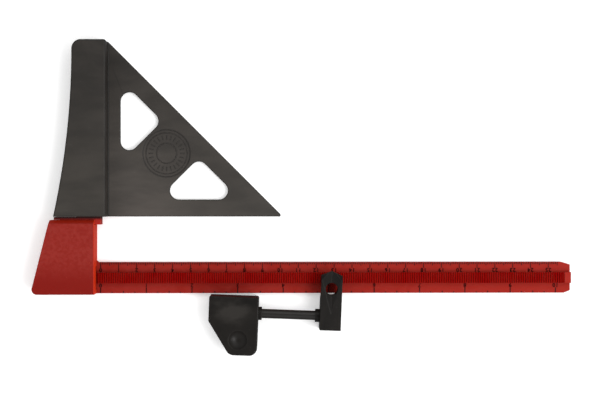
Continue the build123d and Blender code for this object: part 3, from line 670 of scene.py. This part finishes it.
def makeNumeralTree():
    # numbers counted up along the rule, each filled and raised, read from the far side
    sizes = {
        "Count": ("Int", 11), "Pitch": ("Float", 10 * mm), "Start": ("Vector", (0, 0, 0)),
        "Size": ("Float", 2 * mm), "Rise": ("Float", 0.05 * mm), "Spacing": ("Float", 1.0),
        "Boldness": ("Float", 0.2 * mm),
    }
    tree, given = startTree("scaleNumerals", sizes)
    first = tree.nodes.new("GeometryNodeRepeatInput")
    last = tree.nodes.new("GeometryNodeRepeatOutput")
    first.pair_with_output(last)
    tree.links.new(given["Count"], first.inputs["Iterations"])
    number = first.outputs["Iteration"]
    text = addNode(tree, "FunctionNodeValueToString", {"Value": number}).outputs[0]
    feeds = {"String": text, "Size": given["Size"], "Character Spacing": given["Spacing"]}
    letters = addNode(tree, "GeometryNodeStringToCurves", feeds, align_x="CENTER", align_y="MIDDLE")
    curves = addNode(tree, "GeometryNodeRealizeInstances", {0: letters.outputs[0]}).outputs[0]
    feeds = {"Geometry": curves, "Resolution": curveSteps}
    coarse = addNode(tree, "GeometryNodeSetSplineResolution", feeds).outputs[0]
    flat = addNode(tree, "GeometryNodeFillCurve", {"Curve": coarse}, mode="NGONS").outputs[0]
    feeds = {"Mesh": flat, "Offset Scale": given["Rise"], "Individual": False}
    raised = addNode(tree, "GeometryNodeExtrudeMesh", feeds).outputs["Mesh"]
    under = addNode(tree, "GeometryNodeFlipFaces", {"Mesh": flat}).outputs[0]
    # a low bar along every outline makes the strokes bold
    feeds = {"Width": given["Boldness"], "Height": given["Rise"]}
    bar = addNode(tree, "GeometryNodeCurvePrimitiveQuadrilateral", feeds).outputs[0]
    feeds = {"Curve": coarse, "Profile Curve": bar, "Fill Caps": True}
    bold = addNode(tree, "GeometryNodeCurveToMesh", feeds).outputs[0]
    feeds = {"Geometry": joinAll(tree, under, raised, bold), "Distance": weldReach}
    closed = addNode(tree, "GeometryNodeMergeByDistance", feeds).outputs[0]
    feeds = {0: given["Start"], 1: combine(tree, maths(tree, "MULTIPLY", number, given["Pitch"]))}
    place = addNode(tree, "ShaderNodeVectorMath", feeds, operation="ADD").outputs[0]
    stood = moved(tree, closed, Translation=place, Rotation=(0, 0, math.pi))
    gathered = joinAll(tree, first.outputs["Geometry"], stood)
    tree.links.new(gathered, last.inputs["Geometry"])
    return endTree(tree, last.outputs["Geometry"], given["Finish"])


def makeBadgeTree():
    # a plain dial: rings with a band of radial bars
    sizes = {
        "Centre": ("Vector", (0, 0, 0)), "Bars": ("Int", 24), "Bar Radius": ("Float", 9 * mm),
        "Bar Length": ("Float", 2 * mm), "Line Width": ("Float", 0.4 * mm), "Rise": ("Float", 0.2 * mm),
        "Outer Ring": ("Float", 11 * mm), "Inner Ring": ("Float", 5 * mm),
    }
    tree, given = startTree("badgeDial", sizes)
    feeds = {"Vertices": given["Bars"], "Radius": given["Bar Radius"]}
    ring = addNode(tree, "GeometryNodeMeshCircle", feeds).outputs[0]
    spot = addNode(tree, "GeometryNodeInputPosition").outputs[0]
    outward = addNode(tree, "FunctionNodeAlignRotationToVector", {"Vector": spot}, axis="X").outputs[0]
    cube = addNode(tree, "GeometryNodeMeshCube").outputs[0]
    scale = combine(tree, given["Bar Length"], given["Line Width"], given["Rise"])
    parts = [onPoints(tree, Points=ring, Instance=cube, Rotation=outward, Scale=scale)]
    feeds = {"Width": given["Line Width"], "Height": given["Rise"]}
    profile = addNode(tree, "GeometryNodeCurvePrimitiveQuadrilateral", feeds).outputs[0]
    for name in ("Outer Ring", "Inner Ring"):
        feeds = {"Resolution": hoopSteps, "Radius": given[name]}
        circle = addNode(tree, "GeometryNodeCurvePrimitiveCircle", feeds).outputs[0]
        feeds = {"Curve": circle, "Profile Curve": profile}
        parts.append(addNode(tree, "GeometryNodeCurveToMesh", feeds).outputs[0])
    return endTree(tree, moved(tree, joinAll(tree, *parts), Translation=given["Centre"]), given["Finish"])


headSides = 40
shankSides = 28


def makeScrewTree():
    # a countersunk screw with a cross recess at each point, its head's face on the point
    sizes = {
        "Head Radius": ("Float", 2.8 * mm), "Shank Radius": ("Float", 1.5 * mm),
        "Head Depth": ("Float", 1.3 * mm), "Length": ("Float", 9 * mm), "Slot Width": ("Float", 0.7 * mm),
        "Slot Length": ("Float", 3 * mm), "Slot Depth": ("Float", 0.9 * mm),
    }
    tree, given = startTree("crossScrew", sizes)
    feeds = {
        "Vertices": headSides, "Radius Top": given["Shank Radius"], "Radius Bottom": given["Head Radius"],
        "Depth": given["Head Depth"],
    }
    head = addNode(tree, "GeometryNodeMeshCone", feeds).outputs[0]
    cut = addNode(tree, "GeometryNodeMeshBoolean", {"Mesh 1": head}, operation="DIFFERENCE")
    for length, width in (("Slot Length", "Slot Width"), ("Slot Width", "Slot Length")):
        deep = maths(tree, "MULTIPLY", given["Slot Depth"], 2.0)
        size = combine(tree, given[length], given[width], deep)
        bit = addNode(tree, "GeometryNodeMeshCube", {"Size": size}).outputs[0]
        tree.links.new(bit, cut.inputs["Mesh 2"])
    run = maths(tree, "SUBTRACT", given["Length"], given["Slot Depth"])
    feeds = {"Vertices": shankSides, "Radius": given["Shank Radius"], "Depth": run}
    shank = addNode(tree, "GeometryNodeMeshCylinder", feeds).outputs[0]
    lift = maths(tree, "ADD", given["Slot Depth"], maths(tree, "MULTIPLY", run, 0.5))
    shank = moved(tree, shank, Translation=combine(tree, z=lift))
    whole = joinAll(tree, cut.outputs[0], shank)
    return endTree(tree, onPoints(tree, Points=given["Geometry"], Instance=whole), given["Finish"])


scaleTree = makeScaleTree()
screwTree = makeScrewTree()
numeralTree = makeNumeralTree()
badgeTree = makeBadgeTree()

inch = 25.4 * mm
scaleCommon = {"Line Width": 0.5 * mm, "Rise": 0.06 * mm, "Finish": markRed}
centimetres = {
    **scaleCommon, "Count": 256, "Pitch": mm, "Side": -1.0, "Short": 1.2 * mm, "Middle": 1.9 * mm,
    "Long": 3.2 * mm, "Middle Step": 5, "Long Step": 10,
}
inches = {
    **scaleCommon, "Count": 41, "Pitch": inch / 4, "Side": 1.0, "Short": 0.7 * mm, "Middle": 1.1 * mm,
    "Long": 2.9 * mm, "Middle Step": 2, "Long Step": 4, "Line Width": 0.6 * mm,
}
numerals = {
    "Size": 3.1 * mm, "Rise": 0.05 * mm, "Spacing": 1.15, "Boldness": 0.3 * mm, "Finish": markRed,
}
markInset = 0.1 * mm  # from the rule's edge to the ends of the marks
numeralSink = 0.01 * mm
numeralGap = 1.25 * mm  # from the rib's foot to the middle of a numeral

centimetreNumbers = {**numerals, "Count": 26, "Pitch": 10 * mm}
inchNumbers = {**numerals, "Count": 11, "Pitch": inch}
numeralFace = rule["face"] - numeralSink
for name, tree, sizes, across, level in (
    ("centimetreMarks", scaleTree, centimetres, rule["innerEdge"] - markInset, rule["face"]),
    ("inchMarks", scaleTree, inches, rule["outerEdge"] + markInset, rule["face"]),
    ("centimetreNumerals", numeralTree, centimetreNumbers, rule["ribHigh"] + numeralGap, numeralFace),
    ("inchNumerals", numeralTree, inchNumbers, rule["ribLow"] - numeralGap, numeralFace),
):
    start = Vector((rule["zero"], across, level))
    growPiece(name, tree, {**sizes, "Start": start}, "stock")


recessLevel = 2.5 * mm


def measureBadge():
    # the round recess is the only face of the square at its level
    floor = levelPoints("square", recessLevel)
    middle = sum(floor, Vector()) / len(floor)
    return middle, max((p - middle).length for p in floor)


def findScrews(node):
    # each separate screw of a CAD node: where its head's face lies, and its sizes
    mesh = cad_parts[node].data
    grid = 0.01 * mm
    joined = {}

    def rootOf(key):
        while joined[key] != key:
            key = joined[key]
        return key

    def keyOf(point):
        return tuple(round(c / grid) for c in point)

    for face in mesh.polygons:
        keys = [keyOf(mesh.vertices[i].co) for i in face.vertices]
        for key in keys:
            joined.setdefault(key, key)
        for key in keys[1:]:
            joined[rootOf(key)] = rootOf(keys[0])
    groups = {}
    for vertex in mesh.vertices:
        groups.setdefault(rootOf(keyOf(vertex.co)), []).append(vertex.co)
    spots = []
    for points in groups.values():
        low = Vector(min(p[i] for p in points) for i in range(3))
        high = Vector(max(p[i] for p in points) for i in range(3))
        spots.append(Vector(((low.x + high.x) / 2, (low.y + high.y) / 2, low.z)))
    spots.sort(key=lambda p: (round(p.x, 5), round(p.y, 5)))
    # the sizes come from the last screw, since all of a node's screws are alike
    tips = [p for p in points if p.z > high.z - grid]
    middle = (low + high) / 2
    shank = max(math.hypot(p.x - middle.x, p.y - middle.y) for p in tips)
    return spots, {"Head Radius": (high.x - low.x) / 2, "Shank Radius": shank, "Length": high.z - low.z}


screwShape = {"Slot Width": 0.24, "Slot Length": 1.1, "Slot Depth": 0.3}  # shares of the head's radius
screwedTo = {"blade_screws": "stock", "tongue_screws": "stock", "carriage_screws": "gauge"}
for node, body in screwedTo.items():
    spots, sizes = findScrews(node)
    head = sizes["Head Radius"]
    sizes["Head Depth"] = head - sizes["Shank Radius"]
    for size, share in screwShape.items():
        sizes[size] = head * share
    seed = bpy.data.meshes.new(node + "Spots")
    seed.from_pydata([tuple(p) for p in spots], [], [])
    sizes["Finish"] = zincSteel
    screws = growPiece("crossed_" + node, screwTree, sizes, body, seed)
    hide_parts(node)

badgeCentre, badgeRadius = measureBadge()
dialShares = {"Bar Radius": 0.66, "Bar Length": 0.18, "Outer Ring": 0.86, "Inner Ring": 0.42}
dial = {size: badgeRadius * share for size, share in dialShares.items()}
dial.update({
    "Centre": badgeCentre, "Bars": 24, "Line Width": 0.45 * mm, "Rise": 0.5 * mm, "Finish": badgeBlack,
})
growPiece("badgeDial", badgeTree, dial, "square")
print("stage 4: marks, numerals and badge")


# floor, light and camera

def floorFinish(look):
    # a matt white sweep, seen a little brighter and mirrored darker than it is
    material, tree, shader = startFinish("paleFloor")
    path = addNode(tree, "ShaderNodeLightPath").outputs
    tint = mixColour(tree, path["Is Glossy Ray"], (*look["colour"], 1), (*look["mirrored"], 1))
    tree.links.new(tint, shader["Base Color"])
    shader["Roughness"].default_value = look["rough"]
    shader["Specular IOR Level"].default_value = look["specular"]
    shader["Emission Color"].default_value = (1, 1, 1, 1)
    tree.links.new(maths(tree, "MULTIPLY", path["Is Camera Ray"], look["lift"]), shader["Emission Strength"])
    return material


floorLook = {
    "colour": (0.9, 0.9, 0.9), "mirrored": (0.3, 0.3, 0.3), "rough": 0.9, "specular": 0.1, "lift": 0.3,
    "half": 3.0, "drop": 0.05 * mm,
}


def makeFloor():
    half = floorLook["half"]
    mesh = bpy.data.meshes.new("floor")
    corners = [(-half, -half), (half, -half), (half, half), (-half, half)]
    mesh.from_pydata([(x, y, -floorLook["drop"]) for x, y in corners], [], [(0, 1, 2, 3)])
    floor = bpy.data.objects.new("floor", mesh)
    mesh.materials.append(floorFinish(floorLook))
    bpy.context.scene.collection.objects.link(floor)


studio = {
    "right": {"from": (0.48, -0.24, 0.82), "size": 0.5, "power": 4.7},
    "back": {"from": (0.26, 0.42, 0.86), "size": 0.6, "power": 1.3},
    "horizon": 0.33, "shoulder": 1.08, "zenith": 0.3, "shoulderAt": 0.7, "zenithFrom": 0.82, "zenithAt": 0.98,
}


def makeLight(name, light, centre):
    data = bpy.data.lights.new(name, "AREA")
    data.shape = "SQUARE"
    data.size = light["size"]
    data.energy = light["power"]
    lamp = bpy.data.objects.new(name, data)
    lamp.location = centre + Vector(light["from"])
    lamp.rotation_euler = (-Vector(light["from"])).to_track_quat("-Z", "Y").to_euler()
    bpy.context.scene.collection.objects.link(lamp)


def makeWorld():
    # a soft dome, brightest at its shoulder and dim straight above; seen directly it is plain white
    world = bpy.data.worlds.new("studio")
    world.use_nodes = True
    tree = world.node_tree
    sky = splitPoint(tree, addNode(tree, "ShaderNodeTexCoord").outputs["Generated"])[2]
    glow = fade(tree, sky, 0.0, studio["shoulderAt"], studio["horizon"], studio["shoulder"])
    over = fade(tree, sky, studio["zenithFrom"], studio["zenithAt"])
    glow = mixValue(tree, over, glow, studio["zenith"])
    seen = addNode(tree, "ShaderNodeLightPath").outputs["Is Camera Ray"]
    tree.links.new(mixValue(tree, seen, glow, 1.0), tree.nodes["Background"].inputs["Strength"])
    tree.nodes["Background"].inputs["Color"].default_value = (1, 1, 1, 1)
    bpy.context.scene.world = world


lookDown = {
    "aim": (-1.9 * mm, -1.3 * mm),  # from the middle of the tool to the middle of the view
    "height": 0.823, "tilt": -1.2, "lens": 88.2, "sensor": 36.0,
}


def makeCamera(centre):
    data = bpy.data.cameras.new("camera")
    data.sensor_width = lookDown["sensor"]
    data.lens = lookDown["lens"]
    camera = bpy.data.objects.new("camera", data)
    tilt = math.radians(lookDown["tilt"])
    aimX, aimY = lookDown["aim"]
    standX = centre.x + aimX + lookDown["height"] * math.tan(tilt)
    camera.location = (standX, centre.y + aimY, lookDown["height"])
    camera.rotation_euler = (0, tilt, 0)
    bpy.context.scene.collection.objects.link(camera)
    bpy.context.scene.camera = camera


middle = (cadBox[0] + cadBox[1]) / 2
makeFloor()
makeWorld()
for name in ("right", "back"):
    makeLight(name, studio[name], middle)
makeCamera(middle)
bpy.context.scene.view_settings.view_transform = "Standard"
print("stage 5: floor, light and camera")
